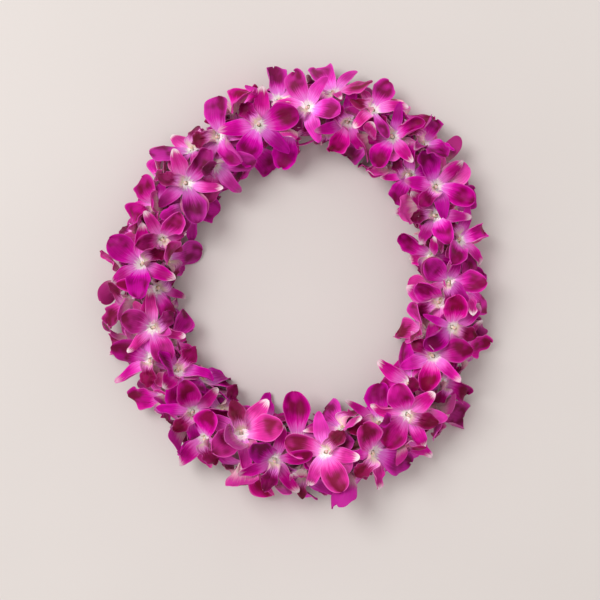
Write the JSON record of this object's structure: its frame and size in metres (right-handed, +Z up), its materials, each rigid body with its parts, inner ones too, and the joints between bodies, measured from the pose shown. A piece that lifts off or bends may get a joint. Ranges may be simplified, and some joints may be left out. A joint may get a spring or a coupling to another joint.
{
  "type": "orchid lei",
  "caption": "Fresh orchid lei: open dendrobium blooms threaded on a knotted cotton string and laid in an oval ring.",
  "frame": {"origin": "middle of the lei's outline as seen from above, on the surface that it lies on", "axes": "+Z up off the surface, +Y along the oval's long way towards its narrower end, +X across it"},
  "size_m": [0.3533, 0.3921, 0.0711],
  "materials": {
    "petal": "soft satin petal",
    "string": "matt cotton"
  },
  "bodies": {
    "root": {"blooms_01": "petal", "blooms_02": "petal", "blooms_03": "petal", "blooms_04": "petal", "blooms_05": "petal", "blooms_06": "petal", "blooms_07": "petal", "blooms_08": "petal", "blooms_09": "petal", "blooms_10": "petal", "blooms_11": "petal", "blooms_12": "petal", "blooms_13": "petal", "blooms_14": "petal", "blooms_15": "petal", "blooms_16": "petal", "blooms_17": "petal", "blooms_18": "petal", "blooms_19": "petal", "blooms_20": "petal", "blooms_21": "petal", "blooms_22": "petal", "blooms_23": "petal", "blooms_24": "petal", "blooms_25": "petal", "blooms_26": "petal", "blooms_27": "petal", "blooms_28": "petal", "blooms_29": "petal", "blooms_30": "petal", "blooms_31": "petal", "blooms_32": "petal", "blooms_33": "petal", "blooms_34": "petal", "blooms_35": "petal", "blooms_36": "petal", "blooms_37": "petal", "blooms_38": "petal", "blooms_39": "petal", "blooms_40": "petal", "blooms_41": "petal", "blooms_42": "petal", "blooms_43": "petal", "blooms_44": "petal", "string": "string"}
  },
  "joints": []
}
